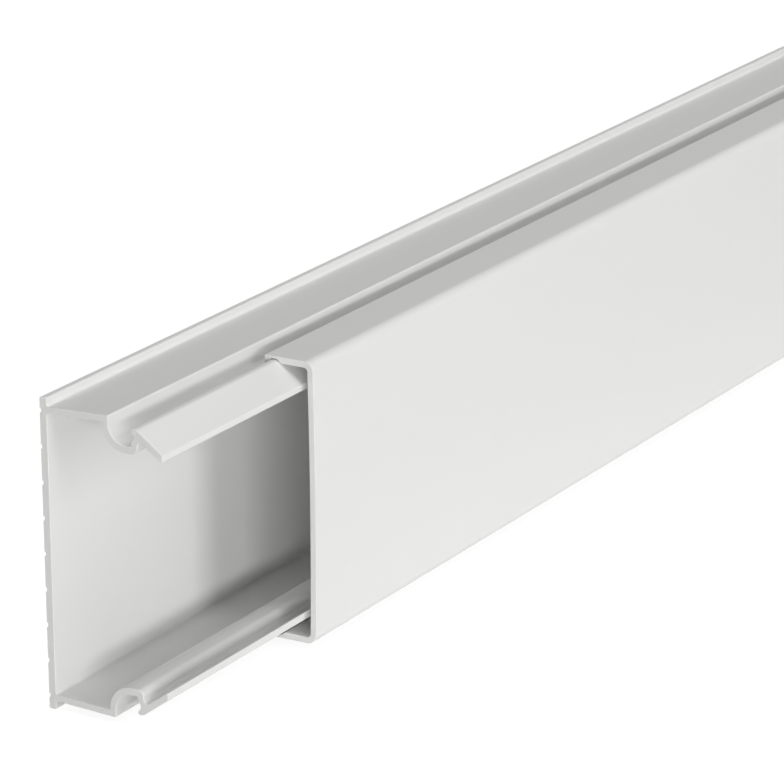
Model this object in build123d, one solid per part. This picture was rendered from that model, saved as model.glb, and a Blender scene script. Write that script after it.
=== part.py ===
from build123d import *
import math
import os

# Surface trunking for cables: an extruded base that is fixed to a wall by its back plate, and an
# extruded cover that snaps over it. Both are one length of stock, cut square. All sizes are millimetres.
# X runs along the stock, Z is up the plate's height and the wall is behind, towards +Y.
# Insets are measured from the plate's long edges towards its middle, depths from the wall face.

# Stock length, and how far the cover is drawn back along the base
stock_length = 2000.0
cover_setback = 81.0

# Back plate, with shallow grooves along its wall face
plate_height = 105.0
plate_thickness = 2.7
rear_groove_count = 9
rear_groove_pitch = 12.0
rear_groove_width = 1.4
rear_groove_depth = 0.5

# Side webs, which splay a little, and the snap grooves that they turn into
base_wall = 2.2
web_root_inset = 2.95
web_end_inset = 2.0
web_reach = 25.8
groove_width = 8.6
groove_depth = 6.05
groove_floor_wall = 2.4
groove_floor_radius = 6.2
groove_heel_radius = 0.8
groove_toe_radius = 2.5

# Crest on each groove's front arm, with the notch behind it that the cover's bead springs into
crest_width = 2.0
crest_radius = 2.5
notch_radius = 1.75
notch_depth = 0.95
notch_drop = 2.65

# Lead-in lip that falls from each crest to a tip behind the cover
lip_wall = 2.2
lip_run = 9.5
lip_angle = 36.5
crease_radius = 1.35

# Cover, a shallow channel with a crowned front. Each flange thins over the crest and ends in a hook
# with a bead along its front face
cover_wall = 2.2
flange_thin_wall = 0.95
cover_crown = 0.5
cover_inset = 3.6
cover_corner_radius = 3.7

# Fits between the two pieces, and the small radii left by the extrusion die
slide_clearance = 0.3
bead_clearance = 0.4
hook_tip_clearance = 1.5
lip_tip_clearance = 2.2
die_radius = 0.5

# Places that follow from the sizes above
half_height = plate_height / 2
groove_front = web_reach + groove_width
crest_inset = cover_inset + flange_thin_wall + slide_clearance
groove_floor = crest_inset + groove_depth
notch_middle = (groove_front + notch_depth - notch_radius, crest_inset + notch_drop)
lip_start = groove_front + crest_width
lip_tip = lip_start + lip_run
lip_slope = math.tan(math.radians(lip_angle))
cover_depth = lip_tip + lip_tip_clearance + cover_wall + cover_crown
flange_back = groove_front - slide_clearance - cover_wall
hook_front = flange_back + cover_wall
hook_tip = groove_floor - hook_tip_clearance


def lower(inset):
    """Height of a point near the plate's lower edge, from the plate's middle."""
    return inset - half_height


def both_sides(profile):
    return profile + mirror(profile, about=Plane.XZ)


def back_plate():
    plate = Pos(plate_thickness / 2, 0) * Rectangle(plate_thickness, plate_height)
    groove = Rectangle(2 * rear_groove_depth, rear_groove_width)
    return plate - GridLocations(0, rear_groove_pitch, 1, rear_groove_count) * groove


def corners_at(profile, depth, inset):
    """The profile's corners at one depth and inset, on both its sides."""
    level = abs(lower(inset))
    near = 0.01
    return [
        corner
        for corner in profile.vertices()
        if abs(corner.X - depth) < near and abs(abs(corner.Y) - level) < near
    ]


def rounded_face(corners):
    """A face through corners of depth, inset and radius near the plate's lower edge."""
    points = [(depth, lower(inset)) for depth, inset, radius in corners]
    face = make_face(Polyline(*points, close=True))
    for depth, inset, radius in corners:
        if radius > 0:
            face = fillet(corners_at(face, depth, inset), radius)
    return face


def web_outside(depth):
    """Inset of a web's outer face, which splays towards the front."""
    root = plate_thickness / 2
    return web_root_inset + (web_end_inset - web_root_inset) * (depth - root) / (web_reach - root)


def notch_circle(radius):
    depth, inset = notch_middle
    return Pos(depth, lower(inset)) * Circle(radius)


def side_wall():
    """A web from the back plate, the U-shaped groove at its end, the crest and the lead-in lip."""
    root = plate_thickness / 2
    back_arm = web_reach - base_wall
    front_arm = groove_front + base_wall
    groove_back = groove_floor + groove_floor_wall
    tip_outside = crest_inset + lip_run * lip_slope
    lip_thickness = lip_wall / math.cos(math.radians(lip_angle))
    crease = crest_inset + (front_arm - lip_start) * lip_slope + lip_thickness
    wall = rounded_face(
        [
            (root, web_outside(root), 0),
            (web_reach, web_end_inset, die_radius),
            (web_reach, groove_floor, groove_floor_radius),
            (groove_front, groove_floor, groove_heel_radius),
            (groove_front, crest_inset, die_radius),
            (lip_start, crest_inset, crest_radius),
            (lip_tip, tip_outside, die_radius),
            (lip_tip, tip_outside + lip_thickness, die_radius),
            (front_arm, crease, crease_radius),
            (front_arm, groove_back, groove_toe_radius),
            (back_arm, groove_back, groove_floor_radius + base_wall),
            (back_arm, web_outside(back_arm) + base_wall, 0),
            (root, web_outside(root) + base_wall, 0),
        ]
    )
    return wall - notch_circle(notch_radius)


def base_section():
    return back_plate() + both_sides(side_wall())


def flange_relief():
    """The cut that thins a flange over the crest and ends in a slope along the lip."""
    shallow = cover_inset + flange_thin_wall
    deep = cover_inset + cover_wall
    slope_start = lip_start + slide_clearance * math.tan(math.radians(lip_angle / 2))
    slope_end = slope_start + (deep - shallow) / lip_slope
    return make_face(
        Polyline(
            (hook_front, lower(shallow)),
            (slope_start, lower(shallow)),
            (slope_end, lower(deep)),
            (hook_front, lower(deep)),
            close=True,
        )
    )


def cover_section():
    front_edge = cover_depth - cover_crown
    bottom = lower(cover_inset)
    sides = Polyline(
        (front_edge, bottom),
        (flange_back, bottom),
        (flange_back, -bottom),
        (front_edge, -bottom),
    )
    front = ThreePointArc((front_edge, -bottom), (cover_depth, 0), (front_edge, bottom))
    outer = make_face([sides, front])
    outer = fillet(corners_at(outer, front_edge, cover_inset), cover_corner_radius)
    inner = offset(outer, -cover_wall, kind=Kind.INTERSECTION)
    mouth_width = -2 * lower(hook_tip)
    mouth_reach = 2 * cover_wall
    mouth = Pos(flange_back, 0) * Rectangle(2 * mouth_reach, mouth_width)
    section = outer - inner - mouth - both_sides(flange_relief())
    section = fillet(corners_at(section, flange_back, cover_inset), die_radius)
    for depth in (flange_back, hook_front):
        section = fillet(corners_at(section, depth, hook_tip), die_radius)
    return section + both_sides(notch_circle(notch_radius - bead_clearance))


def stock(section, far_end):
    """One length of a section, drawn from its far end towards -X."""
    frame = Plane(origin=(far_end, cover_depth / 2, half_height), x_dir=(0, -1, 0), z_dir=(-1, 0, 0))
    return extrude(frame * section, amount=stock_length)


overall_length = stock_length + cover_setback
trunking_base = stock(base_section(), overall_length / 2 - cover_setback)
trunking_cover = stock(cover_section(), overall_length / 2)

os.makedirs("parts", exist_ok=True)
export_step(trunking_base, "parts/trunking_base.step")
export_step(trunking_cover, "parts/trunking_cover.step")
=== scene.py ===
import math

import bmesh
import bpy
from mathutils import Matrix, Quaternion, Vector


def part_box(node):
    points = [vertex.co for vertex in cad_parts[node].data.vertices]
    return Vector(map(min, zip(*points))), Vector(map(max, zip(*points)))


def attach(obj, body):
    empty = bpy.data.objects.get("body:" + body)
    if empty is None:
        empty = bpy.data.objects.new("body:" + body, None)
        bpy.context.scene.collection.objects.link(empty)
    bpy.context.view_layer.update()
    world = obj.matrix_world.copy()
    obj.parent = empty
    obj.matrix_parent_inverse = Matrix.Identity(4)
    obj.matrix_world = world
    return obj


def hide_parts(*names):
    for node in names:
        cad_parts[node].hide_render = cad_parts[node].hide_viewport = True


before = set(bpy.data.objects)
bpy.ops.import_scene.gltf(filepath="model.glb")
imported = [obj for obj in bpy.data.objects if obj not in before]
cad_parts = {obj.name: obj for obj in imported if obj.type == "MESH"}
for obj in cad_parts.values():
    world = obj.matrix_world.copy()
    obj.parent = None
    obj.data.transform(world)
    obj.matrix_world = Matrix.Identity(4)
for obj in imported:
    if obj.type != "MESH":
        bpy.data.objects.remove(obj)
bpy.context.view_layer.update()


# Trunking base
# The half of the raceway that is fixed to the wall: a grooved back plate, two side webs, and along the
# end of each web a snap groove with a crest and a lead-in lip. It is one extrusion of white rigid PVC,
# drawn through a die and sawn square at both ends.

mm = 0.001

base_low, base_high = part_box("trunking_base")
wall_face = base_high.y
plate_height = base_high.z - base_low.z
half_height = plate_height / 2

# Depths are measured from the wall face, and insets from the plate's lower edge.
plate_thickness = 2.7 * mm
rear_groove_count = 9
rear_groove_pitch = 12.0 * mm
rear_groove_width = 1.4 * mm
rear_groove_depth = 0.5 * mm
plate_edge_radius = 0.6 * mm

base_wall = 2.2 * mm
web_root_inset = 2.95 * mm
web_end_inset = 2.0 * mm
web_reach = 25.8 * mm
web_root_radius = 0.8 * mm
groove_width = 8.6 * mm
groove_front = web_reach + groove_width
groove_floor = 10.9 * mm
groove_floor_wall = 2.4 * mm
groove_floor_radius = 6.2 * mm
groove_heel_radius = 0.8 * mm
groove_toe_radius = 2.5 * mm

crest_inset = 4.85 * mm
crest_width = 2.0 * mm
crest_radius = 2.5 * mm
notch_radius = 1.75 * mm
notch_depth = 0.95 * mm
notch_drop = 2.65 * mm
notch_middle = (groove_front + notch_depth - notch_radius, crest_inset + notch_drop)

lip_start = groove_front + crest_width
lip_tip = base_high.y - base_low.y
lip_wall = 2.2 * mm
lip_angle = math.radians(36.5)
crease_radius = 1.35 * mm

die_radius = 0.5 * mm
arris = 0.2 * mm
saw_arris = 0.12 * mm


def web_outside(depth):
    """Inset of a side web's outer face, which splays a little towards the front."""
    root = plate_thickness / 2
    share = (depth - root) / (web_reach - root)
    return web_root_inset + (web_end_inset - web_root_inset) * share


def rounded(corners):
    """A closed outline through corners of (depth, inset, radius), each turned into an arc."""
    widest_step = math.radians(7.5)
    outline = []
    for here, (depth, inset, radius) in enumerate(corners):
        corner = Vector((depth, inset))
        if radius == 0:
            outline.append(corner)
            continue
        before = (Vector(corners[here - 1][:2]) - corner).normalized()
        after = (Vector(corners[(here + 1) % len(corners)][:2]) - corner).normalized()
        half_angle = before.angle(after) / 2
        centre = corner + (before + after).normalized() * (radius / math.sin(half_angle))
        start = corner + before * (radius / math.tan(half_angle)) - centre
        end = corner + after * (radius / math.tan(half_angle)) - centre
        sweep = math.atan2(start.x * end.y - start.y * end.x, start.dot(end))
        steps = max(2, math.ceil(abs(sweep) / widest_step))
        for step in range(steps + 1):
            turn = sweep * step / steps
            spoke = Vector((
                start.x * math.cos(turn) - start.y * math.sin(turn),
                start.x * math.sin(turn) + start.y * math.cos(turn),
            ))
            outline.append(centre + spoke)
    return outline


def both_sides(lower_corners):
    """The corners of a whole section, from those of its lower half."""
    upper_corners = [(depth, plate_height - inset, radius) for depth, inset, radius in lower_corners]
    return lower_corners + upper_corners[::-1]


def drawn_in(outline, amount):
    """The outline moved inwards all round."""
    moved = []
    for here, point in enumerate(outline):
        before = (point - outline[here - 1]).normalized()
        after = (outline[(here + 1) % len(outline)] - point).normalized()
        inwards = Vector((-before.y - after.y, before.x + after.x)).normalized()
        half_turn = math.acos(max(-1.0, min(1.0, before.dot(after)))) / 2
        moved.append(point + inwards * (amount / math.cos(half_turn)))
    return moved


def sawn_length(name, outline, near_end, far_end):
    """One length of a section, with the fine broken edge that a saw and a scraper leave at each end."""
    bay = 25 * mm
    bays = round((far_end - near_end) / bay)
    first = near_end + saw_arris
    last = far_end - saw_arris
    cut_outline = drawn_in(outline, saw_arris)
    rings = [(near_end, cut_outline)]
    rings += [(first + (last - first) * station / bays, outline) for station in range(bays + 1)]
    rings += [(far_end, cut_outline)]
    shape = bmesh.new()
    loops = []
    for x, ring in rings:
        loops.append([shape.verts.new((x, wall_face - depth, inset)) for depth, inset in ring])
    for bay_index, (near, far) in enumerate(zip(loops, loops[1:])):
        for here in range(len(outline)):
            there = (here + 1) % len(outline)
            face = shape.faces.new((near[here], far[here], far[there], near[there]))
            face.smooth = 0 < bay_index < len(loops) - 2
    shape.faces.new(loops[0])
    shape.faces.new(loops[-1][::-1])
    mesh = bpy.data.meshes.new(name)
    shape.to_mesh(mesh)
    shape.free()
    piece = bpy.data.objects.new(name, mesh)
    bpy.context.scene.collection.objects.link(piece)
    even = piece.modifiers.new("even_shading", "WEIGHTED_NORMAL")
    even.keep_sharp = True
    return piece


def notch_arc(radius, face):
    """Corners along the stretch of the notch's circle that lies in front of a face at this depth."""
    depth, inset = notch_middle
    half_sweep = math.acos((face - depth) / radius)
    steps = 14
    turns = [half_sweep * (1 - 2 * step / steps) for step in range(steps + 1)]
    edges = [arris] + [0] * (steps - 1) + [arris]
    return [
        (depth + radius * math.cos(turn), inset + radius * math.sin(turn), edge)
        for turn, edge in zip(turns, edges)
    ]


lip_slope = math.tan(lip_angle)
lip_thickness = lip_wall / math.cos(lip_angle)
tip_outside = crest_inset + (lip_tip - lip_start) * lip_slope
front_arm = groove_front + base_wall
back_arm = web_reach - base_wall
groove_back = groove_floor + groove_floor_wall
crease = crest_inset + (front_arm - lip_start) * lip_slope + lip_thickness

groove_side = rear_groove_width / 2
base_corners = [
    (rear_groove_depth, half_height - groove_side, arris),
    (0, half_height - groove_side, arris),
]
for groove in range(1, rear_groove_count // 2 + 1):
    middle = half_height - groove * rear_groove_pitch
    base_corners += [
        (0, middle + groove_side, arris),
        (rear_groove_depth, middle + groove_side, arris),
        (rear_groove_depth, middle - groove_side, arris),
        (0, middle - groove_side, arris),
    ]
base_corners += [
    (0, 0, plate_edge_radius),
    (plate_thickness, 0, plate_edge_radius),
    (plate_thickness, web_outside(plate_thickness), web_root_radius),
    (web_reach, web_end_inset, die_radius),
    (web_reach, groove_floor, groove_floor_radius),
    (groove_front, groove_floor, groove_heel_radius),
    *notch_arc(notch_radius, groove_front),
    (groove_front, crest_inset, die_radius),
    (lip_start, crest_inset, crest_radius),
    (lip_tip, tip_outside, die_radius),
    (lip_tip, tip_outside + lip_thickness, die_radius),
    (front_arm, crease, crease_radius),
    (front_arm, groove_back, groove_toe_radius),
    (back_arm, groove_back, groove_floor_radius + base_wall),
    (back_arm, web_outside(back_arm) + base_wall, arris),
    (plate_thickness, web_outside(plate_thickness) + base_wall, web_root_radius),
]
base_outline = rounded(both_sides(base_corners))
base = sawn_length("trunking_base_stock", base_outline, base_low.x, base_high.x)


class Wire:
    """One output socket of a node tree. Arithmetic on a wire adds Math nodes to its tree."""

    def __init__(self, tree, socket=None):
        self.tree = tree
        self.socket = socket

    def node(self, kind, settings, sockets, output=0):
        """Adds any node: first its settings, then the values or links of its sockets."""
        made = self.tree.nodes.new(kind)
        for name, value in settings.items():
            setattr(made, name, value)
        for name, value in sockets.items():
            if isinstance(value, Wire):
                self.tree.links.new(value.socket, made.inputs[name])
            else:
                made.inputs[name].default_value = value
        return Wire(self.tree, made.outputs[output] if made.outputs else None)

    def math(self, operation, *operands):
        return self.node("ShaderNodeMath", {"operation": operation}, dict(enumerate(operands)))

    def __add__(self, other):
        return self.math("ADD", self, other)

    def __radd__(self, other):
        return self.math("ADD", other, self)

    def __sub__(self, other):
        return self.math("SUBTRACT", self, other)

    def __rsub__(self, other):
        return self.math("SUBTRACT", other, self)

    def __mul__(self, other):
        return self.math("MULTIPLY", self, other)

    def __rmul__(self, other):
        return self.math("MULTIPLY", other, self)

    def __gt__(self, other):
        return self.math("GREATER_THAN", self, other)

    def __lt__(self, other):
        return self.math("LESS_THAN", self, other)

    def __abs__(self):
        return self.math("ABSOLUTE", self)


def new_tree(owner):
    """The emptied node tree of a material or world, as a wire with no socket yet."""
    owner.use_nodes = True
    owner.node_tree.nodes.clear()
    return Wire(owner.node_tree)


def noise(tree, place, pitch, detail):
    """Soft noise whose features are about pitch metres wide along X, Y and Z."""
    cells = tuple(1 / size for size in pitch)
    scaled = tree.node("ShaderNodeVectorMath", {"operation": "MULTIPLY"}, {0: place, 1: cells})
    return tree.node("ShaderNodeTexNoise", {}, {"Vector": scaled, "Scale": 1.0, "Detail": detail})


def blend(tree, share, first, second):
    """Mix of two colours. A Mix node takes them at its sockets 6 and 7 and gives the result at output 2."""
    return tree.node("ShaderNodeMix", {"data_type": "RGBA"}, {0: share, 6: first, 7: second}, output=2)


def extruded_pvc(name, colour, cut_and_shade_colour, blade_centre):
    """Satin white PVC: faint lines drawn by the die, a fine grain, slight clouding, and sawn ends that are
    rougher and darker. Their darker colour is partly the duller cut and partly painted shade on the end
    faces.
    """
    line_width = 0.9 * mm
    line_length = 900 * mm
    grain_width = 0.45 * mm
    cloud_width = 45 * mm
    cloud_length = 160 * mm
    tooth_pitch = 1.1 * mm
    blade_wander = 6 * mm
    blade_sway = 5.0
    end_facing = 0.9

    dull_colour = (0.70, 0.70, 0.686, 1)
    clean_share = 0.9
    cloud_share = 0.1
    line_share = 0.06

    satin_roughness = 0.44
    line_roughness = 0.1
    grain_roughness = 0.06
    sawn_roughness = 0.22
    pvc_ior = 1.53

    line_height = 0.006 * mm
    grain_height = 0.003 * mm
    tooth_height = 0.006 * mm
    torn_height = 0.010 * mm

    material = bpy.data.materials.new(name)
    tree = new_tree(material)
    place = tree.node("ShaderNodeTexCoord", {}, {}, output="Object")
    normal = tree.node("ShaderNodeNewGeometry", {}, {}, output="Normal")
    along = tree.node("ShaderNodeSeparateXYZ", {}, {"Vector": normal}, output="X")
    cut = abs(along) > end_facing

    lines = noise(tree, place, pitch=(line_length, line_width, line_width), detail=2.0)
    grain = noise(tree, place, pitch=(grain_width, grain_width, grain_width), detail=3.0)
    cloud = noise(tree, place, pitch=(cloud_length, cloud_width, cloud_width), detail=2.0)
    wander = noise(tree, place, pitch=(blade_wander, blade_wander, blade_wander), detail=1.0)

    across = {0: place, 1: (0, 1, 1)}
    flat_place = tree.node("ShaderNodeVectorMath", {"operation": "MULTIPLY"}, across)
    from_blade = {0: flat_place, 1: blade_centre}
    reach = tree.node("ShaderNodeVectorMath", {"operation": "DISTANCE"}, from_blade, output="Value")
    phase = reach * (math.tau / tooth_pitch) + wander * blade_sway
    tooth = phase.math("SINE", phase)

    shade = clean_share + cloud_share * cloud + line_share * lines
    drawn = blend(tree, shade, dull_colour, colour)
    # The end faces get a darker colour: partly the duller sawn surface, partly painted shade on the ends.
    surface = blend(tree, cut, drawn, cut_and_shade_colour)
    drawn_roughness = satin_roughness + line_roughness * lines + grain_roughness * grain
    roughness = drawn_roughness + sawn_roughness * cut
    drawn_height = lines * line_height + grain * grain_height
    sawn_height = tooth * tooth_height + grain * torn_height
    height = drawn_height + cut * (sawn_height - drawn_height)
    bump = tree.node("ShaderNodeBump", {}, {"Height": height, "Distance": 1.0, "Strength": 1.0})
    shader = tree.node("ShaderNodeBsdfPrincipled", {}, {
        "Base Color": surface,
        "Roughness": roughness,
        "IOR": pvc_ior,
        "Normal": bump,
    })
    tree.node("ShaderNodeOutputMaterial", {}, {"Surface": shader})
    return material


white_pvc = (0.786, 0.786, 0.772, 1)
# The sawn ends' colour is darker than the drawn faces: partly the duller cut, partly painted shade on the
# end faces.
sawn_and_shaded_pvc = (0.73, 0.73, 0.718, 1)
blade_reach = 160 * mm
blade_drop = 60 * mm
blade_centre = (0, wall_face - blade_reach, -blade_drop)
base.data.materials.append(extruded_pvc("base_pvc", white_pvc, sawn_and_shaded_pvc, blade_centre))
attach(base, "base")
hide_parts("trunking_base")


# Trunking cover
# The front half: a shallow channel of the same PVC with a crowned front. Its flanges thin where they
# pass over the base's crests and end in hooks, whose beads spring into the notches behind the crests.
# It is one extrusion, sawn square, and can be slid along the base.

cover_low, cover_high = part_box("trunking_cover")

cover_depth = wall_face - cover_low.y
flange_back = wall_face - cover_high.y
cover_inset = cover_low.z - base_low.z
cover_wall = 2.2 * mm
cover_crown = 0.5 * mm
cover_corner_radius = 3.7 * mm
flange_thin_wall = 0.95 * mm

slide_clearance = 0.3 * mm
bead_clearance = 0.4 * mm
hook_tip_clearance = 1.5 * mm
hook_front = flange_back + cover_wall
hook_tip = groove_floor - hook_tip_clearance
bead_radius = notch_radius - bead_clearance
relief_start = lip_start + slide_clearance * math.tan(lip_angle / 2)

half_cover = half_height - cover_inset
crown_radius = (half_cover ** 2 + cover_crown ** 2) / (2 * cover_crown)
crown_steps = 11


def crowned(from_middle, behind):
    """Depth of the crowned front, or of the face that far behind it."""
    radius = crown_radius - behind
    return cover_depth - behind - radius + math.sqrt(radius ** 2 - from_middle ** 2)


def crown_corners(half_width, behind):
    """Points of one crowned face, from near the middle of the cover to near its lower corner."""
    heights = [half_width * step / crown_steps for step in range(1, crown_steps)]
    return [(crowned(height, behind), half_height - height, 0) for height in heights]


thin_inset = cover_inset + flange_thin_wall
inner_inset = cover_inset + cover_wall
half_inside = half_cover - cover_wall
relief_end = relief_start + (inner_inset - thin_inset) / lip_slope

cover_corners = crown_corners(half_inside, cover_wall) + [
    (crowned(half_inside, cover_wall), inner_inset, cover_corner_radius - cover_wall),
    (relief_end, inner_inset, arris),
    (relief_start, thin_inset, arris),
    (hook_front, thin_inset, arris),
    *notch_arc(bead_radius, hook_front)[::-1],
    (hook_front, hook_tip, die_radius),
    (flange_back, hook_tip, die_radius),
    (flange_back, cover_inset, die_radius),
    (crowned(half_cover, 0), cover_inset, cover_corner_radius),
] + crown_corners(half_cover, 0)[::-1]
cover_outline = rounded(both_sides(cover_corners))
cover = sawn_length("trunking_cover_stock", cover_outline, cover_low.x, cover_high.x)
cover.data.materials.append(extruded_pvc("cover_pvc", white_pvc, sawn_and_shaded_pvc, blade_centre))
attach(cover, "cover")
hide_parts("trunking_cover")


# Studio
# A wide pale floor, white surroundings and five softboxes: one in front of the raceway, a long low one
# beside the camera, a wide one overhead, a long low one behind and one past the far end. The camera
# stands where the cut ends and the front both show.

floor_half = 12.0
floor_corners = [(-floor_half, -floor_half), (floor_half, -floor_half)]
floor_corners += [(floor_half, floor_half), (-floor_half, floor_half)]
floor_mesh = bpy.data.meshes.new("studio_floor")
floor_mesh.from_pydata([(x, y, 0) for x, y in floor_corners], [], [(0, 1, 2, 3)])
floor = bpy.data.objects.new("studio_floor", floor_mesh)
bpy.context.scene.collection.objects.link(floor)


def looks(tree):
    """1 for rays from the camera, straight or by way of a shiny or clear surface, and 0 for light."""
    camera_ray = tree.node("ShaderNodeLightPath", {}, {}, output="Is Camera Ray")
    glossy_ray = tree.node("ShaderNodeLightPath", {}, {}, output="Is Glossy Ray")
    clear_ray = tree.node("ShaderNodeLightPath", {}, {}, output="Is Transmission Ray")
    return tree.math("MAXIMUM", camera_ray, tree.math("MAXIMUM", glossy_ray, clear_ray))


white = (1, 1, 1, 1)
pale_paint = (0.9, 0.9, 0.9, 1)
shadow_grey = (0.3, 0.3, 0.3, 1)
floor_glow = 0.88
floor_paint = bpy.data.materials.new("floor_paint")
tree = new_tree(floor_paint)
painted = tree.node("ShaderNodeBsdfDiffuse", {}, {"Color": pale_paint})
shadow_catch = tree.node("ShaderNodeBsdfDiffuse", {}, {"Color": shadow_grey})
glow = tree.node("ShaderNodeEmission", {}, {"Color": white, "Strength": floor_glow})
shown = tree.node("ShaderNodeAddShader", {}, {0: shadow_catch, 1: glow})
paint = tree.node("ShaderNodeMixShader", {}, {0: looks(tree), 1: painted, 2: shown})
tree.node("ShaderNodeOutputMaterial", {}, {"Surface": paint})
floor_mesh.materials.append(floor_paint)


def direction(azimuth, elevation):
    """Unit vector from the raceway to a place at these degrees. Azimuth 0 is straight in front of it."""
    turn = math.radians(azimuth)
    rise = math.radians(elevation)
    return Vector((math.sin(turn) * math.cos(rise), -math.cos(turn) * math.cos(rise), math.sin(rise)))


def softbox(name, faced, azimuth, elevation, width, height, power):
    """A rectangular lamp turned to one place along the raceway."""
    stand_off = 4.0
    target = Vector((faced, cover_low.y, half_height))
    away = direction(azimuth, elevation)
    lamp = bpy.data.lights.new(name, "AREA")
    lamp.shape = "RECTANGLE"
    lamp.size = width
    lamp.size_y = height
    lamp.energy = power
    stand = bpy.data.objects.new(name, lamp)
    stand.location = target + away * stand_off
    stand.rotation_euler = (-away).to_track_quat("-Z", "Y").to_euler()
    stand.visible_camera = False
    bpy.context.scene.collection.objects.link(stand)


cover_near = cover_low.x
cover_far = cover_high.x
cover_middle = (cover_near + cover_far) / 2
softbox("front_softbox", cover_near, azimuth=-8, elevation=17, width=1.4, height=2.4, power=51)
softbox("side_softbox", cover_near, azimuth=-53, elevation=4.5, width=2.8, height=0.5, power=91)
softbox("top_softbox", cover_near, azimuth=0, elevation=82, width=3.0, height=3.0, power=67)
softbox("rear_softbox", cover_middle, azimuth=172, elevation=3, width=2.5, height=0.4, power=95)
softbox("end_softbox", cover_far, azimuth=94, elevation=7, width=1.2, height=0.9, power=70)

world = bpy.data.worlds.new("studio")
bpy.context.scene.world = world
tree = new_tree(world)
ambient = 0.05
strength = ambient + (1 - ambient) * looks(tree)
air = tree.node("ShaderNodeBackground", {}, {"Color": white, "Strength": strength})
tree.node("ShaderNodeOutputWorld", {}, {"Surface": air})

aim_along = 48.8 * mm
aim_height = 77.6 * mm
view_distance = 1442 * mm
view_roll = math.radians(-0.389)
focal_length = 198.76
film_width = 36
aim = Vector((cover_near + aim_along, cover_low.y, aim_height))
back = direction(azimuth=-59.03, elevation=18.27)
lens = bpy.data.cameras.new("camera")
lens.lens = focal_length
lens.sensor_width = film_width
camera = bpy.data.objects.new("camera", lens)
camera.location = aim + back * view_distance
camera.rotation_mode = "QUATERNION"
upright = (-back).to_track_quat("-Z", "Y")
camera.rotation_quaternion = upright @ Quaternion((0, 0, 1), view_roll)
bpy.context.scene.collection.objects.link(camera)
bpy.context.scene.camera = camera
bpy.context.scene.view_settings.view_transform = "Standard"
